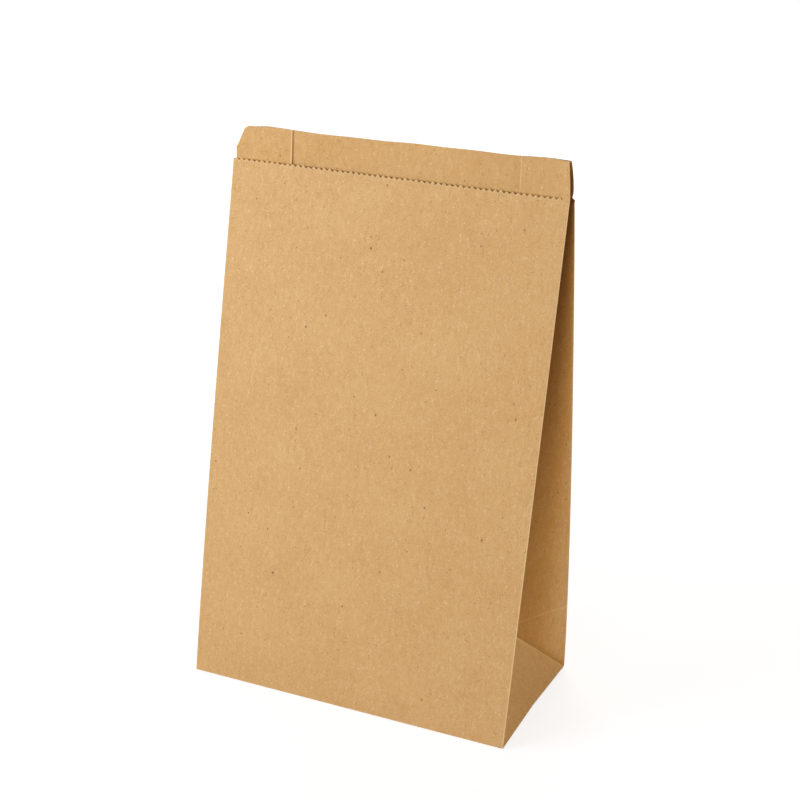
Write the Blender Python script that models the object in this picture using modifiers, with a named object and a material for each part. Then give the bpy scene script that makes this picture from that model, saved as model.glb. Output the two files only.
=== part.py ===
"""A brown kraft paper lunch bag, standing squared on its flat bottom with its mouth nearly closed.

The bag is one folded sheet, so it is one solid. The front panel faces -Y, +X is to the right
seen from the front, and the origin is on the floor under the middle of the base.
Lengths are in metres.
"""

import math

import bmesh
import bpy

# The bag as folded
width = 0.180             # across the front panel, fold to fold
depth = 0.097             # front to back at the base
front_height = 0.277      # up the front panel, from the base to the cut
lip = 0.018               # how far the back and the gussets stand above the front panel's cut
mouth_gap = 0.007         # front to back at the mouth, over the outside faces
paper = 0.0002            # thickness of the sheet

# The side gussets
crease_height = 0.040     # bottom crease on the back panel and the gussets, above the base
tuck_at_crease = 0.022    # how far each gusset's middle fold is pushed in at the bottom crease
tuck_at_mouth_left = 0.033
tuck_at_mouth_right = 0.0255
base_pinch = 0.001        # how far each side edge of the base is pushed in at its middle

# Fold radii, over the outside faces
corner_radius = 0.0007
gusset_radius = 0.0006

# How the standing paper bows
back_bow = 0.003
front_bow = 0.0018
side_bow = 0.001

# The pinked cut along the top of the front panel
tooth_height = 0.0014
tooth_columns = 12
teeth_in_column = 5
slit_inset = 0.0035       # from the right front fold to the slit beside the last tooth

# The cut corners of the lip
corner_cut_width = 0.0045
corner_cut_drop = 0.0095
back_fold_cut = 0.0015

# The glued laps
seam_width = 0.016
seam_from_middle = 0.034
seam_end_gap = 0.0006     # from each end of the seam's lap to the end of the back panel
flap_overlap = 0.012      # how far each bottom flap passes the middle of the base
lap_sink = paper / 2      # how far a lap's solid runs into the wall that carries it

# Steps of the surface
corner_steps = 3
half_steps = 4
gusset_steps = 4
back_steps = 10
lower_rows = 3
upper_rows = 10
top_rows = 2

# Worked out from the sizes above
base_level = 2 * paper
half_width = width / 2
cut_level = math.sqrt(front_height ** 2 - (depth / 2 - mouth_gap / 2) ** 2)
top_level = cut_level + lip
tucks_at_mouth = {1: tuck_at_mouth_right, -1: tuck_at_mouth_left}


def leaned(level):
    """Half of the bag's depth at a height above the base, with straight panels."""
    share = min(level / cut_level, 1.0)
    return depth / 2 - (depth / 2 - mouth_gap / 2) * share


def bowed(level, most):
    """A bow that is nothing at the base and at the cut, and most a little under half way up."""
    share = min(level / cut_level, 1.0)
    return most * math.sin(math.pi * share ** 0.8)


def front_y(level):
    return -leaned(level)


def back_y(level):
    return leaned(level) + bowed(level, back_bow)


def tuck(level, hand):
    """How far the middle fold of a gusset lies inside the side folds."""
    share = (level - crease_height) / (top_level - crease_height)
    return tuck_at_crease + (tucks_at_mouth[hand] - tuck_at_crease) * max(share, 0.0) ** 0.6


def part_way(first, last, share):
    return tuple(a + (b - a) * share for a, b in zip(first, last))


def between(first, last, steps):
    """Points from first to last, both included."""
    return [part_way(first, last, step / steps) for step in range(steps + 1)]


def arc(centre, radius, start, end, steps):
    return [
        (centre[0] + radius * math.cos(angle), centre[1] + radius * math.sin(angle))
        for (angle,) in between((start,), (end,), steps)
    ]


def outward_angle(start, end):
    """Direction of the outside face of a straight run from start to end."""
    return math.atan2(start[0] - end[0], end[1] - start[1])


def gusset_fold(level, hand):
    """The half turn of the gusset's middle fold, open towards the outside."""
    middle = (front_y(level) + back_y(level)) / 2
    centre = (half_width - tuck(level, hand) + gusset_radius, middle)
    return arc(centre, gusset_radius, 1.5 * math.pi, 0.5 * math.pi, gusset_steps)


def lower_triangle(level, hand):
    """The width, at this height, of the flat triangle between the two diagonal creases."""
    share = level / crease_height
    fold = gusset_fold(crease_height, hand)
    front_corner = (half_width, front_y(0.0) + corner_radius)
    back_corner = (half_width, back_y(0.0) - corner_radius)
    front = part_way(front_corner, fold[0], share)
    back = part_way(back_corner, fold[-1], share)
    pinch = base_pinch * (1 - share)
    return [
        (x - pinch * (1 - abs(2 * step / gusset_steps - 1)), y)
        for step, (x, y) in enumerate(between(front, back, gusset_steps))
    ]


def side_points(level, hand):
    """One side of the bag at this height, from the front fold to the back fold, as for the right."""
    side = half_width + (bowed(level, side_bow) if hand < 0 else 0.0)
    front_centre = (side - corner_radius, front_y(level) + corner_radius)
    back_centre = (half_width - corner_radius, back_y(level) - corner_radius)
    folded = level >= crease_height
    middle = gusset_fold(level, hand) if folded else lower_triangle(level, hand)
    flat = level == 0.0
    front_turn = 0.0 if flat else outward_angle(front_centre, middle[0])
    back_turn = 0.0 if flat else outward_angle(middle[-1], back_centre)
    front_fold = arc(front_centre, corner_radius, -math.pi / 2, front_turn, corner_steps)
    back_fold = arc(back_centre, corner_radius, back_turn, math.pi / 2, corner_steps)
    front_half = between(front_fold[-1], middle[0], half_steps)
    back_half = between(middle[-1], back_fold[0], half_steps)
    return front_fold + front_half[1:] + middle[1:] + back_half[1:] + back_fold[1:]


def front_point(x, y, level):
    """A point of the front panel, moved out by its bow, which is most in the middle."""
    return x, y - bowed(level, front_bow) * max(1 - (x / half_width) ** 2, 0.0)


def outline(level):
    """The outside of the bag at this height, anticlockwise from the left end of the front panel."""
    right = side_points(level, 1)
    left = [(-x, y) for x, y in reversed(side_points(level, -1))]
    slit = (right[0][0] - slit_inset, right[0][1])
    front = [front_point(x, y, level) for x, y in between(left[-1], slit, tooth_columns)]
    back = between(right[-1], left[0], back_steps)
    return front + right + back[1:-1] + left[:-1]


def spaced(low, high, steps):
    return [low + (high - low) * step / steps for step in range(1, steps + 1)]


def folded_sheet():
    """The outside surface of the bag, open at the mouth, as faces between its outlines."""
    levels = [0.0]
    levels += spaced(0.0, crease_height, lower_rows)
    levels += spaced(crease_height, cut_level, upper_rows)
    cut_row = len(levels) - 1
    levels += spaced(cut_level, top_level, top_rows)
    form = bmesh.new()
    rows = [
        [form.verts.new((x, y, level + base_level)) for x, y in outline(level)]
        for level in levels
    ]
    around = len(rows[0])
    for row in range(cut_row):
        for column in range(around):
            onward = (column + 1) % around
            low, high = rows[row], rows[row + 1]
            under_teeth = row == cut_row - 1 and column < tooth_columns
            tops = [high[onward], high[column]]
            if under_teeth:
                tops = pinked_edge(form, high[onward], high[column])
            form.faces.new([low[column], low[onward], *tops])
    for row in range(cut_row, len(levels) - 1):
        for column in range(tooth_columns, around - corner_steps):
            low, high = rows[row], rows[row + 1]
            form.faces.new([low[column], low[column + 1], high[column + 1], high[column]])
    form.faces.new(reversed(rows[0]))
    bmesh.ops.remove_doubles(form, verts=form.verts, dist=1e-7)
    loose = [vertex for vertex in form.verts if not vertex.link_faces]
    bmesh.ops.delete(form, geom=loose, context="VERTS")
    return object_of(form, "paper_bag")


def pinked_edge(form, right, left):
    """Adds the teeth between two points of the cut, and gives the valleys from right to left."""
    valleys = [right]
    for step in range(1, teeth_in_column):
        valleys.append(form.verts.new(right.co.lerp(left.co, step / teeth_in_column)))
    valleys.append(left)
    for one, other in zip(valleys, valleys[1:]):
        tip = one.co.lerp(other.co, 0.5)
        tip.z += tooth_height
        form.faces.new([other, one, form.verts.new(tip)])
    return valleys


def object_of(form, name):
    mesh = bpy.data.meshes.new(name)
    form.to_mesh(mesh)
    form.free()
    return bpy.data.objects.new(name, mesh)


def prism(name, corners, travel):
    """The solid that a flat outline sweeps as it travels."""
    form = bmesh.new()
    face = form.faces.new([form.verts.new(corner) for corner in corners])
    swept = bmesh.ops.extrude_face_region(form, geom=[face])["geom"]
    moved = [item for item in swept if isinstance(item, bmesh.types.BMVert)]
    bmesh.ops.translate(form, verts=moved, vec=travel)
    bmesh.ops.recalc_face_normals(form, faces=form.faces)
    return object_of(form, name)


def bottom_flap(name, hand, low):
    """The flap folded in from the front (-1) or the back (1), narrowed at 45 degrees."""
    reach = depth / 2 + flap_overlap
    wide = half_width - paper
    narrow = wide - reach
    edge = hand * (depth / 2 - paper)
    far = edge - hand * reach
    corners = [(-wide, edge, low), (wide, edge, low), (narrow, far, low), (-narrow, far, low)]
    return prism(name, corners, (0.0, 0.0, base_level + lap_sink - low))


def seam_lap():
    """The glued lap down the back panel, following its bow."""
    first = seam_end_gap
    last = top_level - seam_end_gap
    levels = [first] + spaced(first, crease_height, lower_rows)
    levels += spaced(crease_height, cut_level, upper_rows) + [last]
    right = seam_from_middle + seam_width / 2
    left = seam_from_middle - seam_width / 2
    form = bmesh.new()
    rings = []
    for level in levels:
        inner = back_y(level) - lap_sink
        outer = back_y(level) + paper
        ring = [(right, inner), (right, outer), (left, outer), (left, inner)]
        rings.append([form.verts.new((x, y, level + base_level)) for x, y in ring])
    for low, high in zip(rings, rings[1:]):
        for corner in range(4):
            onward = (corner + 1) % 4
            form.faces.new([low[corner], low[onward], high[onward], high[corner]])
    form.faces.new(reversed(rings[0]))
    form.faces.new(rings[-1])
    return object_of(form, "seam_lap")


def corner_cutter():
    """A wedge through the left end of the lip, whose slope cuts the corner off."""
    high = top_level + base_level
    front = -mouth_gap
    left = -half_width - corner_cut_width
    low_end = (left, front, high - 2 * corner_cut_drop)
    high_end = (left + 3 * corner_cut_width, front, high + corner_cut_drop)
    outer = (left, front, high + corner_cut_drop)
    return prism("corner_cutter", [low_end, high_end, outer], (0.0, 2 * mouth_gap, 0.0))


def back_fold_cutter():
    """A block over the right back fold, from the level of the front panel's cut upwards."""
    low = cut_level + base_level
    left = half_width - back_fold_cut
    right = half_width + back_fold_cut
    corners = [(left, 0.0, low), (right, 0.0, low), (right, mouth_gap, low), (left, mouth_gap, low)]
    return prism("back_fold_cutter", corners, (0.0, 0.0, 2 * lip))


def kraft_paper():
    """Brown unbleached paper: tan, dull and not metallic."""
    material = bpy.data.materials.new("kraft_paper")
    material.use_nodes = True
    shader = material.node_tree.nodes["Principled BSDF"]
    shader.inputs["Base Color"].default_value = (0.64, 0.40, 0.20, 1.0)
    shader.inputs["Roughness"].default_value = 0.85
    shader.inputs["Metallic"].default_value = 0.0
    return material


def join(body, other, operation):
    step = body.modifiers.new(other.name, "BOOLEAN")
    step.object = other
    step.operation = operation
    step.solver = "EXACT"


def collection(name, hidden=False):
    group = bpy.data.collections.new(name)
    group.hide_render = hidden
    bpy.context.scene.collection.children.link(group)
    return group


def main():
    for item in list(bpy.data.objects):
        bpy.data.objects.remove(item)
    parts = collection("paper_lunch_bag")
    helpers = collection("cutters_and_laps", hidden=True)
    bag = folded_sheet()
    bag.data.materials.append(kraft_paper())
    parts.objects.link(bag)
    wall = bag.modifiers.new("wall", "SOLIDIFY")
    wall.thickness = paper
    wall.offset = -1.0
    wall.use_even_offset = True
    wall.use_quality_normals = True
    laps = [
        bottom_flap("front_flap", -1, paper),
        bottom_flap("back_flap", 1, 0.0),
        seam_lap(),
    ]
    cutters = [corner_cutter(), back_fold_cutter()]
    for helper in laps + cutters:
        helper.hide_render = True
        helper.display_type = "WIRE"
        helpers.objects.link(helper)
        join(bag, helper, "UNION" if helper in laps else "DIFFERENCE")
    bag.data.shade_smooth()
    bag.data.set_sharp_from_angle(angle=math.radians(35))


main()
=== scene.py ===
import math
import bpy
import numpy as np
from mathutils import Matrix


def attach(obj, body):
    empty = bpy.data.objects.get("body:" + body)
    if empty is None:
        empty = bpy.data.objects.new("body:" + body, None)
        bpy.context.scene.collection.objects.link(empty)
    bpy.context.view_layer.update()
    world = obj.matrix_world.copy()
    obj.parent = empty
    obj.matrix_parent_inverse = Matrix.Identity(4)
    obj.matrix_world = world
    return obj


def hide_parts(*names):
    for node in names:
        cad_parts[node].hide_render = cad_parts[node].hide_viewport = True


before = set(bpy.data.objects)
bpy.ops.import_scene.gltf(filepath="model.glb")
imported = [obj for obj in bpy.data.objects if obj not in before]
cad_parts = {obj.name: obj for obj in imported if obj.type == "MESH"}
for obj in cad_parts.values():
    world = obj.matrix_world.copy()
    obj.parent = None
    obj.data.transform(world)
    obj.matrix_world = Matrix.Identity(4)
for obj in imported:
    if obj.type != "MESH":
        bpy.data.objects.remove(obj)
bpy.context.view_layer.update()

# %% [markdown]
# # A brown paper lunch bag
#
# One sheet of kraft paper, folded and glued into a flat-bottomed bag with a gusset in each side.
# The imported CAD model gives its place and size. Here the same sheet is drawn again, finer: the
# teeth of the cut, the soft bow of the panels, the creases and the fibres of the paper.
# Lengths are in metres, +Z is up, and the front panel faces -Y.

width = 0.180
depth = 0.097
front_height = 0.277                      # along the leaning front panel, up to its cut
lip = 0.018                               # how far the gussets and the back stand above the cut
mouth_gap = 0.007                         # between the panels at the cut
paper = 0.0002
crease_height = 0.040
tuck_at_crease = 0.022                    # how far in a gusset's middle fold lies
tuck_at_mouth = {1: 0.0255, -1: 0.033}    # the same at the mouth, right and left
half_width = width / 2
base_level = 2 * paper
cut_level = math.sqrt(front_height ** 2 - (depth / 2 - mouth_gap / 2) ** 2)
top_level = cut_level + lip

# %% [markdown]
# ## How a squared bag stands
#
# The panels lean towards each other from the squared bottom to the nearly closed mouth, so the
# bag is a wedge. Paper that was folded flat never stands quite straight: the back bows out, and
# so does the front panel, a little. All of these are simple functions of the height, so the
# front, the back and the gussets meet exactly along their folds.

# %% The wedge and its bows
back_bow = 0.003
front_bow = 0.0018


def unit(value):
    """The value, kept between 0 and 1."""
    return np.clip(value, 0.0, 1.0)


def ramp(value, start, reach):
    """(value - start) / reach, kept between 0 and 1: a straight slope between two levels."""
    return unit((value - start) / reach)


def bow(level):
    """sin(pi share^0.8), where share is the height over the height of the cut."""
    return np.sin(np.pi * ramp(level, 0.0, cut_level) ** 0.8)


def lean(level):
    """Half of the depth: a straight line from depth / 2 to mouth_gap / 2 at the cut."""
    return depth / 2 - (depth / 2 - mouth_gap / 2) * ramp(level, 0.0, cut_level)


def front_y(level):
    """-lean: the front panel, without its bow."""
    return -lean(level)


def back_y(level):
    """lean + back_bow * bow: the back panel, bowed out."""
    return lean(level) + back_bow * bow(level)


def tuck(level, hand):
    """How far in a gusset's middle fold lies, growing as the 0.6th power of the height."""
    share = ramp(level, crease_height, top_level - crease_height)
    return tuck_at_crease + (tuck_at_mouth[hand] - tuck_at_crease) * share ** 0.6


print("half depth in mm at the crease:", round(float(lean(crease_height)) * 1000, 1))

# %% [markdown]
# ## Folds that tighten towards the mouth
#
# A fold in paper is a small round bend. Near the mouth the layers were pressed flat together, so
# the bends are tighter there. One smooth step over the height says how near the mouth a level
# is, and both the folds and the pinch of the mouth follow it.

# %% Pressing the folds
corner_radius = 0.0004
gusset_radius = 0.0006
press_start = 0.15      # the height above which the press begins
corner_press = 0.40     # share of its radius that an outer fold loses at the mouth
middle_press = 0.85     # the same for a gusset's middle fold


def near_mouth(level):
    """The smooth step s^2 (3 - 2 s) from 0 at press_start to 1 at the cut."""
    share = ramp(level, press_start, cut_level - press_start)
    return share ** 2 * (3 - 2 * share)


def fold_radius(radius, press, level):
    """radius (1 - press near_mouth): the bend of a fold at every height."""
    return radius * (1 - press * near_mouth(level))


tightest = fold_radius(corner_radius, corner_press, cut_level)
print("outer fold at the mouth in mm:", round(float(tightest) * 1000, 2))

# %% [markdown]
# ## The outline of the bag at every height
#
# A horizontal cut through the bag is one line: along the front, round a fold, into the gusset,
# round its middle fold, out again and along the back. Every cut has the same number of points,
# so the cuts stack into a grid. Each run and each fold is worked out for all heights at once.

# %% Runs and folds, for all heights at once
def run(first, last, shares):
    """first + (last - first) * share: points (heights, shares, 2) of straight runs."""
    return first[:, None, :] + (last - first)[:, None, :] * shares[None, :, None]


def fold(centre, radius, start, end, steps):
    """centre + radius (cos a, sin a): points (heights, steps + 1, 2) round folds of each radius."""
    shares = np.linspace(0.0, 1.0, steps + 1)
    angle = start[:, None] + (end - start)[:, None] * shares[None, :]
    ring = np.stack([np.cos(angle), np.sin(angle)], axis=-1)
    return centre[:, None, :] + radius[:, None, None] * ring


def point(x, y):
    """x and y as points (heights, 2)."""
    return np.stack(np.broadcast_arrays(x, y), axis=-1).astype(float)


def outward_angle(start, end):
    """Direction of the outside face of a straight run, atan2(x0 - x1, y1 - y0)."""
    return np.arctan2(start[:, 0] - end[:, 0], end[:, 1] - start[:, 1])


def eased(count):
    """0.5 - 0.5 cos(pi t): shares from 0 to 1 that crowd together at both ends."""
    return 0.5 - 0.5 * np.cos(np.pi * np.linspace(0.0, 1.0, count))


fold_steps = 6
middle_steps = 10
half_shares = eased(19)
print("points across half a gusset:", len(half_shares))

# %% [markdown]
# ## One side of the bag
#
# Above the bottom crease, a gusset is two halves that meet in its middle fold. Below the crease
# the squared bottom has pushed that fold out flat, into a triangle whose two slanting creases
# run from the corners of the base up to the middle fold. The left side is the same function,
# mirrored, with its own tuck.

# %% A gusset, from the front panel to the back panel
side_bow = 0.001
side_spread = 0.0005      # how far the left side stands out at the mouth
back_side_bow = 0.0009
crease_ridge = 0.00035
base_pinch = 0.001
mouth_forward = 0.0029    # how far the middle folds move to the front at the mouth
shorter = 0.0015          # from the back fold to where the lip is cut away
tiny = 1e-9


def middle_fold(height, hand):
    """The half circle of points round a gusset's middle fold, at each height."""
    radius = fold_radius(gusset_radius, middle_press, height)
    middle_y = (front_y(height) + back_y(height)) / 2 - mouth_forward * near_mouth(height)
    turn = np.full(len(height), 0.5 * np.pi)
    return fold(point(half_width - tuck(height, hand) + radius, middle_y), radius,
                turn + np.pi, turn, middle_steps)


def triangle(level, hand):
    """The triangle below the crease: rows from one slanting crease to the other, pinched in."""
    top = middle_fold(np.full(len(level), crease_height), hand)
    share = ramp(level, 0.0, crease_height)[:, None]
    front_corner = point(half_width + 0 * level, -depth / 2 + corner_radius)
    back_corner = point(half_width + 0 * level, depth / 2 - corner_radius)
    front_end = front_corner + (top[:, 0] - front_corner) * share
    back_end = back_corner + (top[:, -1] - back_corner) * share
    steps = eased(middle_steps + 1)
    lower = run(front_end, back_end, steps)
    lower[:, [0, -1], 0] += crease_ridge * np.sqrt(share * (1 - share)) * 2
    lower[:, :, 0] -= base_pinch * (1 - share) * (1 - np.abs(2 * steps - 1))
    return lower


def gusset(level, hand):
    """One side from the front panel to the back panel, as for the right: (heights, points, 2)."""
    spread = side_bow * bow(level) + side_spread * ramp(level, 0.0, cut_level) ** 2
    side = half_width + (spread if hand < 0 else 0.0 * level)
    corner = fold_radius(corner_radius, corner_press, level)
    front_centre = point(side - corner, front_y(level) + corner)
    back_side = half_width + back_side_bow * np.sqrt(unit(bow(level)))
    back_centre = point(back_side - corner, back_y(level) - corner)
    flat_turn = np.full(len(level), 0.5 * np.pi)
    above_crease = (level >= crease_height - tiny)[:, None, None]
    middle = np.where(above_crease, middle_fold(level, hand), triangle(level, hand))
    flat = level < tiny
    front_turn = np.where(flat, 0.0, outward_angle(front_centre, middle[:, 0]))
    back_turn = np.where(flat, 0.0, outward_angle(middle[:, -1], back_centre))
    front_fold = fold(front_centre, corner, flat_turn - np.pi, front_turn, fold_steps)
    back_fold = fold(back_centre, corner, back_turn, flat_turn, fold_steps)
    front_half = run(front_fold[:, -1], middle[:, 0], half_shares)
    length = np.linalg.norm(back_fold[:, 0] - middle[:, -1], axis=1)
    near = np.clip(1 - shorter / np.maximum(length, tiny), 0.5, 1.0)
    before_last = middle[:, -1] + (back_fold[:, 0] - middle[:, -1]) * near[:, None]
    back_half = run(middle[:, -1], before_last, half_shares)
    parts = [front_fold, front_half[:, 1:], middle[:, 1:], back_half[:, 1:], back_fold]
    return np.concatenate(parts, axis=1)


side_points = gusset(np.array([0.1]), 1).shape[1]
print("points on each side:", side_points)

# %% [markdown]
# ## The rows of the grid
#
# The rows are the heights of the cuts. They crowd together at the base and at the bottom
# crease, where the paper bends, and just above the teeth, and are spread out where it is plain.

# %% Heights of the rows, and the whole outline
teeth = 60
steps_in_tooth = 4
toothless = 0.0035        # the strip beside the right fold that has no teeth
low_rows = np.concatenate([[0.0, 0.0004, 0.0012], np.linspace(0.003, 0.037, 12)])
crease_rows = crease_height + np.array([-0.0016, -0.0006, 0.0, 0.0006, 0.0016])
high_rows = np.linspace(0.0435, cut_level - 0.003, 52)
levels = np.concatenate([low_rows, crease_rows, high_rows, [cut_level]])
lip_levels = np.concatenate([cut_level + np.array([0.0006, 0.0010]),
                             np.linspace(cut_level, top_level, 11)[1:]])
all_levels = np.concatenate([levels, lip_levels])
front_count = teeth * steps_in_tooth
back_shares = np.linspace(0.0, 1.0, 61)


def outline(level):
    """The bag's outside anticlockwise from the left end of the front panel: x and y."""
    right = gusset(level, 1)
    left = gusset(level, -1)[:, ::-1] * np.array([-1.0, 1.0])
    last_tooth = right[:, 0] - np.array([toothless, 0.0])
    front = run(left[:, -1], last_tooth, np.linspace(0.0, 1.0, front_count + 1))
    strip = run(last_tooth, right[:, 0], np.array([0.5]))
    first = right[:, -1] - np.array([shorter, 0.0])
    last = left[:, 0] + np.array([shorter, 0.0])
    back = run(first, last, back_shares)
    return np.concatenate([front, strip, right, back, left[:, :-1]], axis=1)


plan = outline(all_levels)
rows, around = plan.shape[:2]
cut_row = len(levels) - 1
print("rows", rows, "points in a row", around)

# %% Where each part of the outline starts
half_points = len(half_shares)
right_start = front_count + 2
front_half_start = right_start + fold_steps
right_middle = front_half_start + half_points - 1
back_half_start = right_middle + middle_steps
back_start = right_start + side_points
left_start = back_start + len(back_shares)
left_back_half_start = left_start + fold_steps + 1
left_middle = left_back_half_start + half_points - 1
left_front_half_start = left_middle + middle_steps
columns = np.arange(around)
on_front = columns <= front_count + 1
on_back = (columns >= back_start) & (columns < left_start)
on_back_half = (columns >= back_half_start) & (columns < back_start)
print("gusset halves start at columns", front_half_start, back_half_start)

# %% [markdown]
# ## Life in the paper
#
# A paper panel between two folds bends easily, so it is never quite flat. The front panel is
# bowed out by about 2 mm, and all panels have very low, broad waves. These are added as smooth
# functions that fade to nothing at the folds and at the base, so the folds stay joined.

# %% Bows and waves of the panels
rng = np.random.default_rng(20)
wave_count = 7
wave_spread = np.array([42.0, 26.0])      # radians a metre, across and up
wave_numbers = rng.normal(0.0, 1.0, (wave_count, 2)) * wave_spread
wave_phases = rng.uniform(0.0, 2 * np.pi, wave_count)
wave_fade = 0.05
front_wave = 0.00022
back_wave = 0.00030
front_seed, back_seed = 0, 3


def waves(x, z, seed):
    """A sum of seven seeded sine waves, between about -1 and 1."""
    angle = (x[..., None] * wave_numbers[:, 0] + z[..., None] * wave_numbers[:, 1]
             + wave_phases + 1.7 * seed * np.arange(1, wave_count + 1))
    return np.sin(angle).sum(axis=-1) / wave_count ** 0.5


def window(at_x):
    """4 s (1 - s) across a panel: 0 at its side folds and 1 in its middle."""
    share = ramp(at_x, -half_width, width)
    return unit(4 * share * (1 - share))


def panel_wave(at_x, level, most, seed):
    """most * sqrt(window) * waves, faded out above the base and below the cut."""
    rise = ramp(level, 0.0, wave_fade)
    fall = ramp(cut_level - level, 0.0, wave_fade)
    return most * window(at_x) ** 0.5 * rise * fall * waves(at_x, level, seed)


z = np.broadcast_to(all_levels[:, None], (rows, around)).copy()
x = plan[:, :, 0].copy()
y = plan[:, :, 1].copy()
front_out = front_bow * window(x) * bow(z) + panel_wave(x, z, front_wave, front_seed)
back_out = panel_wave(x, z, back_wave, back_seed)
print("front stands out by up to", round(float(front_out.max()) * 1000, 2), "mm")

# %% [markdown]
# ## The pinch of the mouth
#
# Where a gusset's layers lie between the panels, the mouth stays open by their stiffness. In
# between, the back panel was pressed forward until it nearly touches the front. The pinch grows
# with the height, and from the side folds inwards over the width of the tuck.

# %% Pressing the back panel forward
mouth_pinch = 0.0059
lip_forward = 0.0002
fold_margin = 0.001       # the pinch starts this far inside a side fold
tuck_share = 1.12         # and is complete at this many times the tuck
round_off = 0.15          # the last share of the slope, which is rounded


def pinch_share(at_x):
    """t - clip(t - 0.85, 0, 0.15)^2 / 0.3, scaled to 1: a slope with a rounded upper end."""
    reach = tuck_share * np.where(at_x < 0, tuck_at_mouth[-1], tuck_at_mouth[1])
    t = ramp(half_width - fold_margin - np.abs(at_x), 0.0, reach)
    rounded = t - np.clip(t - (1 - round_off), 0.0, round_off) ** 2 / (2 * round_off)
    return rounded / (1 - round_off / 2)


def pinched(at_x, level):
    """How far the back panel is pressed forward towards the front panel near the mouth."""
    return (mouth_pinch * pinch_share(at_x) * near_mouth(level)
            + lip_forward * ramp(level, cut_level, lip))


back_out -= pinched(x, z)
y -= np.where(on_front, front_out, 0.0)
y += np.where(on_back, back_out, 0.0)
print("back comes forward by up to", round(float(-back_out.min()) * 1000, 2), "mm")

# %% [markdown]
# ## The gussets' soft halves
#
# Each half of a gusset is a long, narrow panel between two folds. It bellies a little into the
# bag, and more so near the bottom crease, where the fold was pushed in by hand.

# %% Belly of the gusset halves
gusset_belly = 0.0010
belly_fade = (ramp(all_levels, 0.0, crease_height)
              * ramp(cut_level - all_levels, 0.0, 0.12))[:, None]


def belly(start, hand, most):
    """most * 4 s (1 - s) * fade, pushed along x away from the outside, with a slow ripple."""
    s = np.linspace(0.0, 1.0, half_points)[None, :]
    ripple = 1.0 + 0.35 * np.sin(all_levels[:, None] * 61.0 + 2.0 * hand)
    x[:, start:start + half_points] -= hand * most * 4 * s * (1 - s) * belly_fade * ripple


belly(front_half_start, 1, 0.5 * gusset_belly)
belly(back_half_start, 1, gusset_belly)
belly(left_back_half_start, -1, gusset_belly)
belly(left_front_half_start, -1, 0.5 * gusset_belly)
print("the gussets belly by about", gusset_belly * 1000, "mm")

# %% [markdown]
# ## The pinked cut
#
# Bags are cut from an endless tube of paper by a toothed knife, and the front panel is cut lower
# so that a thumb can open the mouth. The zigzag is simply added to the top row of the front
# panel: a triangle wave with one period for each tooth, a little uneven from tooth to tooth.

# %% Zigzag
tooth_height = 0.0014
tooth_place = columns[:front_count + 1] / steps_in_tooth
tooth = np.floor(tooth_place)
tooth_wave = 1 - np.abs(2 * (tooth_place % 1.0) - 1)
uneven = 1.0 + 0.25 * np.sin(1.9 * tooth) * np.cos(0.7 * tooth)
z[cut_row, :front_count + 1] += tooth_height * (tooth_wave * uneven - 0.5)
print("tooth pitch in mm:", round((width - toothless) / teeth * 1000, 2))

# %% [markdown]
# ## The lip above the cut
#
# Above the teeth, the sheet goes on round the gussets and the back. Its left end has its corner
# cut off, and its top edge isn't quite level: it sags to the left, is worn round beside the cut
# corner and has a low wave. Each of these is a height taken off or put on at every column.

# %% The top edge of the lip
lip_x = x[cut_row]
lip_share = (all_levels[cut_row:] - cut_level) / lip
behind = (columns >= back_half_start) & (columns < left_front_half_start)
on_front_half = (columns > front_count) & ~behind
left_draw = 0.0014             # how far the lip's left end is drawn in
corner_cut_slope = 2.15        # how steep the cut corner is
corner_cut_reach = 0.0064      # its width
corner_cut_limit = 0.0048      # past this much of it, the edge falls straight
back_cut_further = 0.0016      # the back layer is cut this much further in
edge_wear = 0.0007
left_sag = 0.0007
front_rise = 0.0003
right_rise = 0.0005
right_end_drop = 0.0008
back_half_drop = 0.0009
edge_level = -0.0002


def near_fold(distance, reach):
    """exp(-(distance / reach)^2): 1 at a fold, fading to nothing over a few times the reach."""
    return np.exp(-(distance / reach) ** 2)


near_left = near_fold(lip_x + half_width, 0.004) * (columns >= left_front_half_start)
from_left = lip_x + half_width + left_draw * near_left - back_cut_further * behind
corner = corner_cut_slope * np.clip(corner_cut_reach - from_left, 0.0, corner_cut_limit)
worn = edge_wear * (1 + behind) * (1 - ramp(from_left, 0.0035, 0.012))
sag = left_sag * (1 - ramp(lip_x, 0.0, 0.060))
edge_wave = 0.00018 * np.sin(71.0 * lip_x + 0.6) + 0.00010 * np.sin(190.0 * lip_x)
rise = front_rise + right_rise * ramp(lip_x, 0.071, 0.003)
bulge = np.where(behind, front_rise * pinch_share(lip_x), rise * on_front_half)
bulge -= back_half_drop * on_back_half + right_end_drop * ramp(lip_x, 0.078, 0.012)
lip_height = lip - corner - worn - sag + bulge + edge_wave + edge_level
z[cut_row + 1:] = cut_level + lip_share[1:, None] * lip_height[None, :]
print("lip is", round(float(lip_height.max()) * 1000, 1), "mm high")

# %% The two ends of the lip, and its sway
fold_draw = 0.0017             # how far the right front fold is drawn in at the top
back_fold_dip = 0.0012         # the cut dips where it crosses the right back fold
sway_height = 0.0004
lip_window = window(lip_x)
z[cut_row, back_start - fold_steps - 1:back_start + 1] -= back_fold_dip
near_right = near_fold(half_width - lip_x, 0.006) * (columns < back_half_start)
x[cut_row:] -= fold_draw * lip_share[:, None] ** 1.3 * near_right[None, :]
drawn_in = left_draw * (1 - np.exp(-lip_share / 0.02))
x[cut_row:] += drawn_in[:, None] * near_left[None, :]
near_cut_fold = near_fold(half_width - lip_x, 0.004)
near_cut_fold *= (columns > back_half_start + half_points // 2) & (columns < left_start)
near_cut_fold[back_start - fold_steps:back_start] = 0.0
ragged = 0.0007 + 0.0011 * (1 - np.exp(-lip_share / 0.08))
ragged -= 0.0016 * lip_share + 0.0012 * lip_share ** 3
x[cut_row:] += ragged[:, None] * near_cut_fold[None, :]


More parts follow.
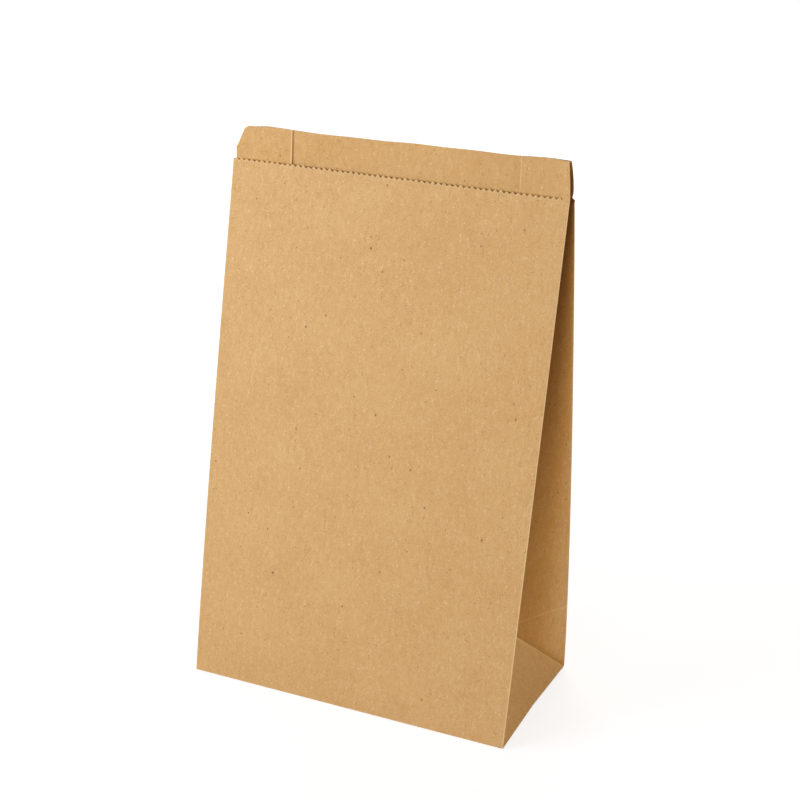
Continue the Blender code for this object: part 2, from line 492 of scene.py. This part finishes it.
def sway(at_x):
    """sway_height * sin(38 x + 1): how far the top edge leans back or forward."""
    return sway_height * np.sin(38.0 * at_x + 1.0)


# lip_x is a view of x, so it has moved with the back fold here
y[cut_row:] += lip_share[:, None] ** 2 * (sway(lip_x) * lip_window)[None, :]
print("the left end is drawn in by", left_draw * 1000, "mm")

# %% [markdown]
# ## Distance to the nearest fold
#
# Folding breaks the fibres, so a crease is a fine pale line with a slight ridge; the pale line is
# also a painted highlight, where a fold's rounded edge would catch the light. The material
# needs to know how far it is to the nearest fold. Each point stores that distance, worked out
# from the grid: along the row to a fold's column, or up and down to the bottom crease. A softer
# crease is stored as a longer distance, and the tips of the teeth as a short one, which paints a
# highlight on them.

# %% Distances along the sheet
far_away = 1.0
line_half_width = 0.0002
crease_softness = 0.0003
step = np.hypot(np.diff(x, axis=1), np.diff(y, axis=1))
length = np.concatenate([np.zeros((rows, 1)), np.cumsum(step, axis=1)], axis=1)
fold_columns = [right_start + fold_steps // 2, right_middle, back_half_start,
                back_start - fold_steps // 2 - 1, left_start + fold_steps // 2, left_middle,
                left_front_half_start, around - 1 - fold_steps // 2]
away = np.abs(length[:, :, None] - length[:, None, fold_columns]).min(axis=2)
fold_distance = np.minimum(np.maximum(away - line_half_width, 0.0), far_away)
from_crease = np.abs(z - crease_height)
past_front = columns > right_start + fold_steps // 2
crease_distance = np.where(past_front, from_crease, far_away) + crease_softness
fold_distance = np.minimum(fold_distance, crease_distance)
soft_crease = np.minimum(fold_distance, 0.000375 + 0.12 * from_crease)
fold_distance = np.where(on_back_half, soft_crease, fold_distance)
fold_distance[cut_row:, right_middle - 3:back_half_start + 3] += crease_softness
# Painted highlight on the tips of the teeth: the pale crease colour, as if their cut edges catch
# the light.
fold_distance[cut_row, :front_count + 1] = 0.00028
fold_distance[cut_row - 1, :front_count + 1] = 0.0009
print("points within 1 mm of a fold:", int((fold_distance < 0.001).sum()))

# %% [markdown]
# ## Painted shade: how deep in the gusset, and how deep inside
#
# Light that enters a narrow gusset bounces from paper to paper and comes out darker and redder
# each time. The bounces are few in a render, so the colour carries painted shade: each point
# stores a number from 0, in the open, to 1, deep in the fold, and the material darkens and
# reddens the paper by it. It grows with the distance from the open edge, and faster where the
# gusset is narrow. The same number paints shadow in the valleys between the teeth and above the
# slanting crease. The inside of the bag has a number of its own, also painted shade.

# %% Painted shade in the gussets
open_tone, cut_shadow = 0.05, 0.85
back_lip_shade = 0.65
triangle_tone = 0.06
diagonal_shadow = 0.55
half_reach = fold_steps + half_points + middle_steps
opening = (back_y(all_levels) - front_y(all_levels))[:, None]
below_lip = (all_levels <= cut_level)[:, None]
tightness = unit(0.40 + 0.95 * all_levels / cut_level)[:, None]
painted_gusset_shade = np.zeros((rows, around))
for first, last, outer, wider in ((right_start, right_start + half_reach, right_start, 0.0),
                                  (back_half_start, back_start, back_start, 0.0009),
                                  (left_start, left_start + half_reach, left_start, 0.0),
                                  (left_front_half_start, around, around - 1, 0.0)):
    inwards = np.abs(length[:, first:last] - length[:, outer:outer + 1])
    near_edge = 0.9 * opening ** 1.5 + wider
    deep = inwards ** 2 / (inwards ** 2 + near_edge ** 2)
    painted_gusset_shade[:, first:last] = below_lip * deep * tightness
triangle_rows = all_levels < crease_height - 0.0001
for middle in (right_middle, left_middle):
    painted_gusset_shade[triangle_rows, middle:middle + 1 + middle_steps] = triangle_tone
painted_gusset_shade[cut_row + 1:] = open_tone
# Painted shadow in the valleys between the teeth, where the gussets' cut row shows.
painted_gusset_shade[cut_row] = cut_shadow
painted_gusset_shade[cut_row, right_start:front_half_start + 2] = open_tone
painted_gusset_shade[cut_row, left_start:left_start + fold_steps + 1] = open_tone
# Painted shade on the back half of the lip, beside the right back fold.
painted_gusset_shade[cut_row + 1:, on_back_half] = back_lip_shade
# Painted shadow above the slanting crease, near the back corner of the base.
from_diagonal = length - length[:, back_half_start:back_half_start + 1]
near_diagonal = np.exp(-np.abs(from_diagonal) / 0.003) * (from_diagonal > 0.0001)
near_diagonal *= (1 - ramp(z, 0.0, crease_height)) * (columns < back_start)
painted_gusset_shade = unit(painted_gusset_shade + diagonal_shadow * near_diagonal)
painted_gusset_shade[:, on_front | on_back] = 0.0
print("deepest point of the gussets:", round(float(painted_gusset_shade.max()), 2))

# %% Painted shade inside the bag
# Painted shade inside the bag, and painted shadow in the valleys between the teeth where the inside
# shows.
inside_tone, inside_cut_tone = 0.8, 0.5
valley_shadow, above_valley_shadow = 0.78, 0.25
below_cut = (all_levels < cut_level - 0.0001)[:, None]
painted_inside_shade = np.where(below_cut, inside_tone, open_tone) + np.zeros((1, around))
painted_inside_shade[cut_row] = inside_cut_tone
for first, last in ((front_half_start + 2, right_middle + 1),
                    (left_front_half_start, around - fold_steps)):
    painted_inside_shade[cut_row, first:last] = valley_shadow
    painted_inside_shade[cut_row + 1, first:last] = above_valley_shadow
print("inside tones from", painted_inside_shade.min(), "to", painted_inside_shade.max())

# %% [markdown]
# ## From grid to paper
#
# The points become one mesh. The grid's faces come from index arithmetic: each quad joins a
# point to its neighbours in its row and in the next row. The rows of the lip leave out the front
# panel. A Solidify modifier then gives the sheet its thickness, inwards, with its own material
# on the cut edges, because a cut edge of paper is paler than its face.

# %% Faces of the grids
def quads(first_row, last_row, first, last):
    """Faces (n, 4) between the rows and columns, both counted to the last one included."""
    row = np.arange(first_row, last_row)[:, None]
    column = np.arange(first, last)[None, :]
    after = (column + 1) % around
    corner = [row * around + column, row * around + after,
              (row + 1) * around + after, (row + 1) * around + column]
    return np.stack([part.ravel() for part in np.broadcast_arrays(*corner)], axis=1)


def grid_faces(high, wide):
    """Quads (n, 4) of a plain grid of high rows and wide columns, which doesn't close up."""
    row, column = np.meshgrid(np.arange(high - 1), np.arange(wide - 1), indexing="ij")
    first = (row * wide + column).ravel()
    return np.stack([first, first + 1, first + wide + 1, first + wide], axis=1)


print("a grid of 3 by 3 points has", len(grid_faces(3, 3)), "quads")

# %% Mesh, attributes and thickness
def sheet_mesh(name, points, faces, floor_ring=None):
    """A mesh from points (n, 3) and quads, with an optional many-sided floor."""
    used = np.unique(faces)
    place = np.zeros(len(points), dtype=int)
    place[used] = np.arange(len(used))
    polygons = place[faces].tolist()
    if floor_ring is not None:
        polygons.append(place[floor_ring].tolist())
    mesh = bpy.data.meshes.new(name)
    mesh.from_pydata(points[used].tolist(), [], polygons)
    mesh.update()
    piece = bpy.data.objects.new(name, mesh)
    bpy.context.scene.collection.objects.link(piece)
    return piece, used


def store(piece, name, values):
    """One number for each point of the mesh, for the material to read."""
    layer = piece.data.attributes.new(name, "FLOAT", "POINT")
    layer.data.foreach_set("value", np.ascontiguousarray(values, dtype=np.float32))


def mark_edges(piece):
    """Smooth faces, sharp at folds over 40 degrees and along every cut edge of the sheet."""
    mesh = piece.data
    mesh.shade_smooth()
    mesh.set_sharp_from_angle(angle=math.radians(40))
    of_corner = np.empty(len(mesh.loops), dtype=np.int32)
    mesh.loops.foreach_get("edge_index", of_corner)
    faces_at_edge = np.bincount(of_corner, minlength=len(mesh.edges))
    sharp = np.empty(len(mesh.edges), dtype=bool)
    mesh.edges.foreach_get("use_edge_sharp", sharp)
    mesh.edges.foreach_set("use_edge_sharp", sharp | (faces_at_edge == 1))


def add_thickness(piece, inside_slot=0):
    """Paper of even thickness, laid inwards, with the cut-edge material on its rim."""
    wall = piece.modifiers.new("thickness", "SOLIDIFY")
    wall.thickness = paper
    wall.offset = -1.0
    wall.material_offset = inside_slot
    wall.material_offset_rim = 1
    mark_edges(piece)


print("the paper is", paper * 1000, "mm thick")

# %% The bag itself
bag_points = np.stack([x, y, z + base_level], axis=-1).reshape(-1, 3)
gap_first = back_half_start + half_points - 1    # where the lip is cut away
bag_faces = np.concatenate([quads(0, cut_row, 0, around),
                            quads(cut_row, rows - 1, front_count, gap_first),
                            quads(cut_row, rows - 1, back_start, around - fold_steps)])
bag, used = sheet_mesh("bag_paper", bag_points, bag_faces, columns[::-1])
for name, values in (("fold_distance", fold_distance), ("painted_gusset_shade", painted_gusset_shade),
                     ("painted_inside_shade", painted_inside_shade)):
    store(bag, name, values.reshape(-1)[used])
add_thickness(bag, 2)
print("bag_paper:", len(bag.data.vertices), "points,", len(bag.data.polygons), "faces")

# %% [markdown]
# ## The glued seam
#
# A paper tube needs a seam: one edge of the sheet is glued over the other down the back. It is a
# thin sheet of its own here, laid on the bag with no gap. It could be a second layer of the same
# grid, but a strip that follows the back panel's own function is simpler and lies as close.

# %% The seam down the back
seam_width = 0.016
seam_from_middle = 0.034
seam_end_gap = 0.0006
seam_top_gap = 0.0009
seam_edge = 0.0005
# Painted shadow: a fine dark line along each edge of the lap, where its step would cast one.
seam_edge_shadow = 0.45               # of the fine dark line along each edge
seam_inset = np.concatenate([[0.0], np.linspace(seam_edge, seam_width - seam_edge, 9),
                             [seam_width]])
seam_x = seam_from_middle + seam_width / 2 - seam_inset
seam_levels = all_levels[(all_levels > seam_end_gap) & (all_levels < top_level - 0.001)]
seam_levels = np.concatenate([[seam_end_gap], seam_levels, [top_level - seam_top_gap]])


def back_surface(at_x, level):
    """The back panel's outside: its bow, wave and sway, less the pinch, as on the bag."""
    swell = panel_wave(at_x, level, back_wave, back_seed)
    swayed = sway(at_x) * window(at_x) * ramp(level, cut_level, lip) ** 2
    return back_y(level) + swell + swayed - pinched(at_x, level)


grid_x, grid_z = np.meshgrid(seam_x, seam_levels)
grid_y = back_surface(grid_x, grid_z) + paper
seam_points = np.stack([grid_x, grid_y, grid_z + base_level], axis=-1).reshape(-1, 3)
seam, used = sheet_mesh("seam_lap", seam_points, grid_faces(*grid_x.shape))
# The lap's edges get painted shade, which draws the painted shadow line.
at_edge = (seam_inset < seam_edge / 2) | (seam_inset > seam_width - seam_edge / 2)
store(seam, "fold_distance", np.full(len(used), far_away))
store(seam, "painted_gusset_shade", (seam_edge_shadow * at_edge[None, :] + 0 * grid_x).reshape(-1)[used])
add_thickness(seam)
print("seam lap:", len(seam.data.polygons), "faces")

# %% [markdown]
# ## The glued bottom flaps
#
# The bottom is closed by two flaps, folded in from the front and from the back. The back one is
# glued over the front one, so it steps down by one thickness of paper where it crosses it. Both
# narrow at 45 degrees, as the folded corners of the gussets leave them.

# %% The two bottom flaps
flap_overlap = 0.012
flap_inset = 0.0006
flap_step = 0.002
flap_rows, flap_columns = 25, 31


def bottom_flap(name, hand, under):
    """A flap from the front (-1) or back (1) edge, narrowed at 45 degrees: x = s (w - t reach)."""
    reach = depth / 2 + flap_overlap
    s = np.linspace(-1.0, 1.0, flap_columns)[None, :]
    t = np.linspace(0.0, 1.0, flap_rows)[:, None]
    at_x = s * (half_width - 2 * paper - t * reach)
    at_y = hand * (depth / 2 - flap_inset) - hand * t * reach + 0 * s
    step = ramp(t * reach, depth / 2 - flap_overlap - 0.003, flap_step)
    at_z = base_level - paper - under * paper * step + 0 * s
    points = np.stack([at_x, at_y, at_z], axis=-1).reshape(-1, 3)
    faces = grid_faces(flap_rows, flap_columns)
    if hand < 0:
        faces = faces[:, ::-1]
    piece = sheet_mesh(name, points, faces)[0]
    store(piece, "fold_distance", np.abs(t * reach + 0 * s).reshape(-1))
    add_thickness(piece)
    return piece


front_flap = bottom_flap("front_flap", -1, 0.0)
back_flap = bottom_flap("back_flap", 1, 1.0)
pieces = [bag, seam, front_flap, back_flap]
for piece in pieces:
    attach(piece, "root")
    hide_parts("paper_bag")
print("pieces:", [piece.name for piece in pieces])

# %% [markdown]
# ## Nodes with less typing
#
# A material is a small graph of nodes. Made by hand in the editor it is a few clicks for each
# node. In code, four helpers keep it short: one adds a node and sets its values, one links
# pairs of sockets, one fills sockets with numbers or links, and one does a sum with two values.

# %% Helpers for nodes
def add_node(tree, kind, x_place, y_place, **settings):
    """A node of the kind, with its properties and its inputs (by name or number) set."""
    node = tree.nodes.new(kind)
    node.location = (x_place, y_place)
    for name, number in settings.pop("inputs", {}).items():
        node.inputs[name].default_value = number
    for name, value in settings.items():
        setattr(node, name, value)
    return node


def join(tree, *pairs):
    """Links each pair of an output socket and an input socket."""
    for source, target in pairs:
        tree.links.new(source, target)


def fill_sockets(tree, sockets, values):
    """Sets each socket to a plain number or colour, or links the output socket given for it."""
    for socket, value in zip(sockets, values):
        if isinstance(value, (int, float, tuple)):
            socket.default_value = value
        else:
            tree.links.new(value, socket)


def sum_node(tree, operation, first, second, x_place, y_place):
    """One step of arithmetic between two sockets or numbers."""
    node = add_node(tree, "ShaderNodeMath", x_place, y_place, operation=operation)
    fill_sockets(tree, node.inputs, (first, second))
    return node.outputs[0]


# %% [markdown]
# ## Kraft pulp
#
# Unbleached paper is a mat of brown wood fibres. Close up it is cloudy, with a fine grain along
# the web, a few dark specks of bark and a few pale fibres. The group below puts out only
# numbers: a tint, a mask of dark specks, a mask of pale flecks and a height for the bump. Each
# material mixes its own colours with them.

# %% The parts of the pulp: noise, dots and curls
def noise(tree, vector, scale, detail, rough, y_place):
    """Soft noise at so many cells a metre, along the vector."""
    node = add_node(tree, "ShaderNodeTexNoise", -500, y_place,
                    inputs={"Scale": scale, "Detail": detail, "Roughness": rough})
    join(tree, (vector, node.inputs["Vector"]))
    return node.outputs["Fac"]


def stretched(tree, vector, scale, y_place, turn=(0.0, 0.0, 0.0)):
    """The vector, turned and scaled: a smaller scale draws the pattern out along that axis."""
    node = add_node(tree, "ShaderNodeMapping", -700, y_place,
                    inputs={"Scale": scale, "Rotation": turn})
    join(tree, (vector, node.inputs["Vector"]))
    return node.outputs["Vector"]


def dots(tree, vector, scale, chance, radius, y_place):
    """1 - distance / (radius (0.5 + random)), in the share of the cells that chance picks."""
    cells = add_node(tree, "ShaderNodeTexVoronoi", -500, y_place, inputs={"Scale": scale})
    split = add_node(tree, "ShaderNodeSeparateColor", -300, y_place)
    edge = add_node(tree, "ShaderNodeMapRange", 80, y_place,
                    inputs={"To Min": 1.0, "To Max": 0.0})
    join(tree, (vector, cells.inputs["Vector"]), (cells.outputs["Color"], split.inputs[0]))
    chosen = sum_node(tree, "LESS_THAN", split.outputs[0], chance, -100, y_place)
    size = sum_node(tree, "MULTIPLY", split.outputs[1], radius, -100, y_place - 80)
    size = sum_node(tree, "ADD", size, 0.5 * radius, -50, y_place - 80)
    reach = sum_node(tree, "DIVIDE", cells.outputs["Distance"], size, 0, y_place)
    join(tree, (reach, edge.inputs["Value"]))
    return sum_node(tree, "MULTIPLY", edge.outputs[0], chosen, 250, y_place)


def curls(tree, vector, along, scale, thin, where, y_place):
    """Short curly fibres: where a noise crosses its middle value, in a few patches only."""
    field = noise(tree, vector, scale, 1.0, 0.5, y_place)
    off = sum_node(tree, "SUBTRACT", field, 0.5, 0, y_place)
    off = sum_node(tree, "ABSOLUTE", off, 0.0, 100, y_place)
    line = add_node(tree, "ShaderNodeMapRange", 200, y_place,
                    inputs={"From Max": thin, "To Min": 1.0, "To Max": 0.0})
    patch = add_node(tree, "ShaderNodeMapRange", 200, y_place - 60,
                     inputs={"From Min": where, "From Max": where + 0.05})
    places = noise(tree, along, scale * 0.8, 1.0, 0.5, y_place - 60)
    join(tree, (off, line.inputs["Value"]), (places, patch.inputs["Value"]))
    return sum_node(tree, "MULTIPLY", line.outputs[0], patch.outputs[0], 300, y_place)


# %% The group, put together
kraft_pulp = bpy.data.node_groups.new("kraft_pulp", "ShaderNodeTree")
for name in ("Tint", "Specks", "Flecks", "Height"):
    kraft_pulp.interface.new_socket(name=name, in_out="OUTPUT", socket_type="NodeSocketFloat")
pulp_out = add_node(kraft_pulp, "NodeGroupOutput", 900, 0)
place = add_node(kraft_pulp, "ShaderNodeTexCoord", -900, 0).outputs["Object"]
along = stretched(kraft_pulp, place, (1.0, 1.0, 0.35), -300)
tilt = (0.3, 0.2, 0.5)

grain = noise(kraft_pulp, along, 900.0, 3.0, 0.65, -200)
fine = noise(kraft_pulp, place, 1900.0, 2.0, 0.7, -400)
layers = ((noise(kraft_pulp, place, 30.0, 2.0, 0.5, 300), 0.22),
          (noise(kraft_pulp, place, 260.0, 3.0, 0.6, 100), 0.24), (grain, 0.34), (fine, 0.84))
tint = 0.0
for number, (layer, share) in enumerate(layers):
    part = sum_node(kraft_pulp, "MULTIPLY", layer, share, 0, 300 - 200 * number)
    tint = part if number == 0 else sum_node(kraft_pulp, "ADD", tint, part, 300 + 100 * number, 200)

large_place = stretched(kraft_pulp, place, (1.0, 1.0, 0.8), -700, tilt)
upright_place = stretched(kraft_pulp, place, (1.5, 1.0, 0.45), -1300, tilt)
lying_place = stretched(kraft_pulp, place, (0.5, 1.0, 1.5), -1600, (0.0, 0.6, 0.3))
fleck_place = stretched(kraft_pulp, place, (1.0, 1.0, 0.5), -1000, tilt)
large = dots(kraft_pulp, large_place, 200.0, 0.20, 0.11, -700)
upright = dots(kraft_pulp, upright_place, 430.0, 0.30, 0.13, -1300)
lying = dots(kraft_pulp, lying_place, 400.0, 0.30, 0.13, -1600)
flecks = dots(kraft_pulp, fleck_place, 300.0, 0.22, 0.11, -1000)
dark_curls = curls(kraft_pulp, place, along, 560.0, 0.022, 0.57, -1800)
pale_curls = curls(kraft_pulp, place, along, 640.0, 0.035, 0.52, -2000)

fibres = sum_node(kraft_pulp, "MAXIMUM", upright, lying, 400, -1300)
dark_curls = sum_node(kraft_pulp, "MULTIPLY", dark_curls, 0.65, 400, -1700)
fibres = sum_node(kraft_pulp, "MAXIMUM", fibres, dark_curls, 420, -1500)
fibres = sum_node(kraft_pulp, "MULTIPLY", fibres, 0.6, 450, -1300)
pale_curls = sum_node(kraft_pulp, "MULTIPLY", pale_curls, 0.62, 420, -1000)
ridges = sum_node(kraft_pulp, "MULTIPLY", grain, 0.6, 0, -400)
join(kraft_pulp, (tint, pulp_out.inputs["Tint"]),
     (sum_node(kraft_pulp, "MAXIMUM", large, fibres, 500, -700), pulp_out.inputs["Specks"]),
     (sum_node(kraft_pulp, "MAXIMUM", flecks, pale_curls, 500, -1000), pulp_out.inputs["Flecks"]),
     (sum_node(kraft_pulp, "ADD", ridges, fine, 200, -400), pulp_out.inputs["Height"]))
print("group outputs:", [item.name for item in kraft_pulp.interface.items_tree])

# %% [markdown]
# ## Paper and its cut edge
#
# Kraft paper is dull: a rough surface with hardly any shine. The tint moves the colour between
# a browner and a yellower tan, the specks darken it and the flecks lighten it. The creases
# lighten it too, as worn fibre and as a painted highlight. Deep in a gusset the colour is
# multiplied by a painted bounce light, and then by a painted dark shade.
# The cut edge is the same pulp, paler, as torn and cut fibres scatter more light.

# %% Colours
def linear(red, green, blue):
    """sRGB numbers from 0 to 255 as linear light, by the sRGB curve."""
    value = np.array([red, green, blue]) / 255.0
    curve = np.where(value <= 0.04045, value / 12.92, ((value + 0.055) / 1.055) ** 2.4)
    return (*curve.tolist(), 1.0)


def mix_colour(tree, factor, first, second, x_place, y_place, how="MIX"):
    """A colour mix whose inputs are sockets or plain colours."""
    node = add_node(tree, "ShaderNodeMix", x_place, y_place, data_type="RGBA", blend_type=how)
    fill_sockets(tree, (node.inputs["Factor"], node.inputs[6], node.inputs[7]),
                 (factor, first, second))
    return node.outputs[2]


# brown, tan, crease and highlight, speck and fleck
pulp_colours = (linear(211, 166, 112), linear(224, 186, 133), linear(244, 216, 170),
                linear(112, 50, 14), linear(238, 214, 170))
cut_colours = (linear(234, 204, 160), linear(246, 224, 186), linear(246, 224, 186),
               linear(170, 126, 80), linear(248, 232, 200))
# Painted bounce light and painted shade, multiplied into the paper deep in the gussets and inside.
bounce = (1.0, 0.87, 0.62, 1.0)
shade = (0.25, 0.14, 0.01, 1.0)
print("brown as linear light:", np.round(pulp_colours[0][:3], 3).tolist())


# %% The materials
def kraft_material(name, colours, bump_strength, painted_shade_name):
    """Pulp colours, lightened at folds by worn fibre and a painted highlight, and darkened by the
    painted shade stored under painted_shade_name.
    """
    brown, tan, crease_and_highlight, speck, fleck = colours
    material = bpy.data.materials.new(name)
    material.use_nodes = True
    tree = material.node_tree
    shader = tree.nodes["Principled BSDF"]
    shader.inputs["Roughness"].default_value = 0.88
    shader.inputs["Specular IOR Level"].default_value = 0.18
    pulp = add_node(tree, "ShaderNodeGroup", -900, 0, node_tree=kraft_pulp)
    spread = add_node(tree, "ShaderNodeMapRange", -700, 200,
                      inputs={"From Min": 0.68, "From Max": 0.96})
    far = add_node(tree, "ShaderNodeAttribute", -900, -300, attribute_name="fold_distance")
    line = add_node(tree, "ShaderNodeMapRange", -700, -300,
                    inputs={"From Max": 0.0005, "To Min": 0.80, "To Max": 0.0})
    deep = add_node(tree, "ShaderNodeAttribute", -900, -600, attribute_name=painted_shade_name)
    within = add_node(tree, "ShaderNodeMapRange", -700, -600, inputs={"From Max": 0.25})
    bump = add_node(tree, "ShaderNodeBump", -300, -500,
                    inputs={"Strength": bump_strength, "Distance": 0.0002})
    colour = mix_colour(tree, spread.outputs[0], brown, tan, -500, 200)
    colour = mix_colour(tree, pulp.outputs["Flecks"], colour, fleck, -450, 200)
    colour = mix_colour(tree, pulp.outputs["Specks"], colour, speck, -400, 200)
    # Pale crease line: worn fibre, and partly a painted highlight on the folds and the tips of the
    # teeth.
    colour = mix_colour(tree, line.outputs[0], colour, crease_and_highlight, -350, 200)
    # Painted bounce light, then painted shade, by the stored depth.
    colour = mix_colour(tree, within.outputs[0], colour, bounce, -300, 200, "MULTIPLY")
    colour = mix_colour(tree, deep.outputs["Fac"], colour, shade, -200, 200, "MULTIPLY")
    join(tree, (pulp.outputs["Tint"], spread.inputs["Value"]),
         (far.outputs["Fac"], line.inputs["Value"]),
         (deep.outputs["Fac"], within.inputs["Value"]),
         (colour, shader.inputs["Base Color"]),
         (pulp.outputs["Height"], bump.inputs["Height"]),
         (bump.outputs["Normal"], shader.inputs["Normal"]))
    return material


face = kraft_material("kraft_face", pulp_colours, 0.35, "painted_gusset_shade")
edge = kraft_material("kraft_cut_edge", cut_colours, 0.2, "no_depth")
inside = kraft_material("kraft_inside", pulp_colours, 0.35, "painted_inside_shade")
for piece in pieces:
    for material in (face, edge, inside):
        piece.data.materials.append(material)
print("materials:", face.name, edge.name, inside.name)

# %% [markdown]
# ## Floor and background
#
# The photograph is a plain studio shot on white. A large white floor catches a soft shadow.
# For the camera it glows a little as well, so it stays white right to the edge of the frame. The
# world is white for the camera and for mirrors, and a dim warm fill for everything else.

# %% The floor
floor_reach = 4.0
floor_corners = [(sx * floor_reach, sy * floor_reach, 0)
                 for sx, sy in ((-1, -1), (1, -1), (1, 1), (-1, 1))]
floor_mesh = bpy.data.meshes.new("floor")
floor_mesh.from_pydata(floor_corners, [], [(0, 1, 2, 3)])
floor = bpy.data.objects.new("floor", floor_mesh)
bpy.context.scene.collection.objects.link(floor)

white = bpy.data.materials.new("white_floor")
white.use_nodes = True
tree = white.node_tree
tree.nodes.clear()
out = add_node(tree, "ShaderNodeOutputMaterial", 600, 0)
matt = add_node(tree, "ShaderNodeBsdfDiffuse", 0, 0, inputs={"Color": (0.86, 0.83, 0.75, 1.0)})
seen_matt = add_node(tree, "ShaderNodeBsdfDiffuse", 0, -150,
                     inputs={"Color": (0.34, 0.34, 0.34, 1.0)})
place = add_node(tree, "ShaderNodeTexCoord", -600, -300)
apart = add_node(tree, "ShaderNodeVectorMath", -400, -300, operation="LENGTH")
far_off = add_node(tree, "ShaderNodeMapRange", -200, -300,
                   inputs={"From Min": 0.3, "From Max": 1.6, "To Min": 0.80})
glow = add_node(tree, "ShaderNodeEmission", 0, -300)
both = add_node(tree, "ShaderNodeAddShader", 200, -200)
rays = add_node(tree, "ShaderNodeLightPath", 0, 300)
blend = add_node(tree, "ShaderNodeMixShader", 400, 0)
join(tree, (place.outputs["Object"], apart.inputs[0]),
     (apart.outputs["Value"], far_off.inputs["Value"]),
     (far_off.outputs[0], glow.inputs["Strength"]),
     (seen_matt.outputs[0], both.inputs[0]), (glow.outputs[0], both.inputs[1]),
     (rays.outputs["Is Camera Ray"], blend.inputs[0]), (matt.outputs[0], blend.inputs[1]),
     (both.outputs[0], blend.inputs[2]), (blend.outputs[0], out.inputs["Surface"]))
floor_mesh.materials.append(white)
print("floor is", 2 * floor_reach, "m wide")

# %% The world
world = bpy.data.worlds.new("studio")
bpy.context.scene.world = world
world.use_nodes = True
tree = world.node_tree
tree.nodes.clear()
out = add_node(tree, "ShaderNodeOutputWorld", 600, 0)
fill = add_node(tree, "ShaderNodeBackground", 0, 100,
                inputs={"Color": (1.0, 0.90, 0.74, 1.0), "Strength": 0.17})
plain = add_node(tree, "ShaderNodeBackground", 0, -100, inputs={"Color": (1.0, 1.0, 1.0, 1.0)})
rays = add_node(tree, "ShaderNodeLightPath", -400, 300)
seen = sum_node(tree, "MAXIMUM", rays.outputs["Is Camera Ray"], rays.outputs["Is Glossy Ray"],
                -200, 300)
seen = sum_node(tree, "MAXIMUM", seen, rays.outputs["Is Transmission Ray"], 0, 300)
blend = add_node(tree, "ShaderNodeMixShader", 300, 0)
join(tree, (seen, blend.inputs[0]), (fill.outputs[0], blend.inputs[1]),
     (plain.outputs[0], blend.inputs[2]), (blend.outputs[0], out.inputs["Surface"]))
bpy.context.scene.view_settings.view_transform = "Standard"
print("the world is", world.name)

# %% [markdown]
# ## Light
#
# In the photograph the front panel is evenly bright and the gusset is in soft shade, darkest in
# its depth. So a large soft light stands in front, and the front fold shades the gusset from it.
# A nearer light makes the left of the panel brighter. A low, weak one on the right opens the
# gusset's shade, and one behind the bag keeps its back from going dark.

# %% Soft studio light
aim_height = 0.13


def softbox(name, azimuth, elevation, distance, size, power, colour):
    """A square lamp aimed at the bag. Azimuth 0 is in front, and grows to the right."""
    turn, height = math.radians(azimuth), math.radians(elevation)
    data = bpy.data.lights.new(name, "AREA")
    data.size = size
    data.energy = power
    data.color = colour
    lamp = bpy.data.objects.new(name, data)
    lamp.location = (distance * math.sin(turn) * math.cos(height),
                     -distance * math.cos(turn) * math.cos(height),
                     aim_height + distance * math.sin(height))
    lamp.rotation_euler = (math.pi / 2 - height, 0.0, turn)
    bpy.context.scene.collection.objects.link(lamp)
    return lamp


lamps = [
    softbox("front", 2.0, 6.0, 1.2, 0.50, 4.5, (1.0, 0.95, 0.86)),
    softbox("left", -50.0, 40.0, 0.8, 0.50, 3.35, (0.95, 0.99, 1.10)),
    softbox("right_low", 92.0, 4.0, 1.2, 0.50, 4.4, (1.0, 0.89, 0.74)),
    softbox("behind", 200.0, 40.0, 1.5, 1.00, 11.5, (1.0, 0.98, 0.95)),
]
print("lamps:", [lamp.name for lamp in lamps])

# %% [markdown]
# ## Camera
#
# The camera was fitted to the corners of the bag in the photograph: it stands about 0.8 m away,
# 23 degrees to the right of the front and 21.5 degrees up, and is rolled by 2 degrees. The
# photograph is cropped off centre, which is what the lens shift is for.

# %% The fitted camera
from mathutils import Matrix

image_size = 800
focal_pixels = 1582.132
centre_pixel = (417.90, 461.40)
azimuth, elevation, roll = (math.radians(angle) for angle in (22.7253, 21.5425, 2.3127))
distance = 0.8202
aim = np.array([0.0185, -0.00445, 0.1285])

back = np.array([math.sin(azimuth) * math.cos(elevation),
                 -math.cos(azimuth) * math.cos(elevation), math.sin(elevation)])
right = np.cross(-back, (0.0, 0.0, 1.0))
right /= np.linalg.norm(right)
up = np.cross(right, -back)
right, up = (right * math.cos(roll) + up * math.sin(roll),
             up * math.cos(roll) - right * math.sin(roll))
eye = aim + back * distance
camera_data = bpy.data.cameras.new("camera")
camera_data.sensor_width = 36.0
camera_data.lens = focal_pixels / image_size * camera_data.sensor_width
camera_data.shift_x = (image_size / 2 - centre_pixel[0]) / image_size
camera_data.shift_y = (centre_pixel[1] - image_size / 2) / image_size
camera = bpy.data.objects.new("camera", camera_data)
turned = np.column_stack([right, up, back, eye]).tolist()
camera.matrix_world = Matrix([*turned, (0.0, 0.0, 0.0, 1.0)])
bpy.context.scene.collection.objects.link(camera)
bpy.context.scene.camera = camera
print("camera at", np.round(eye, 3).tolist(), "lens", round(camera_data.lens, 1), "mm")
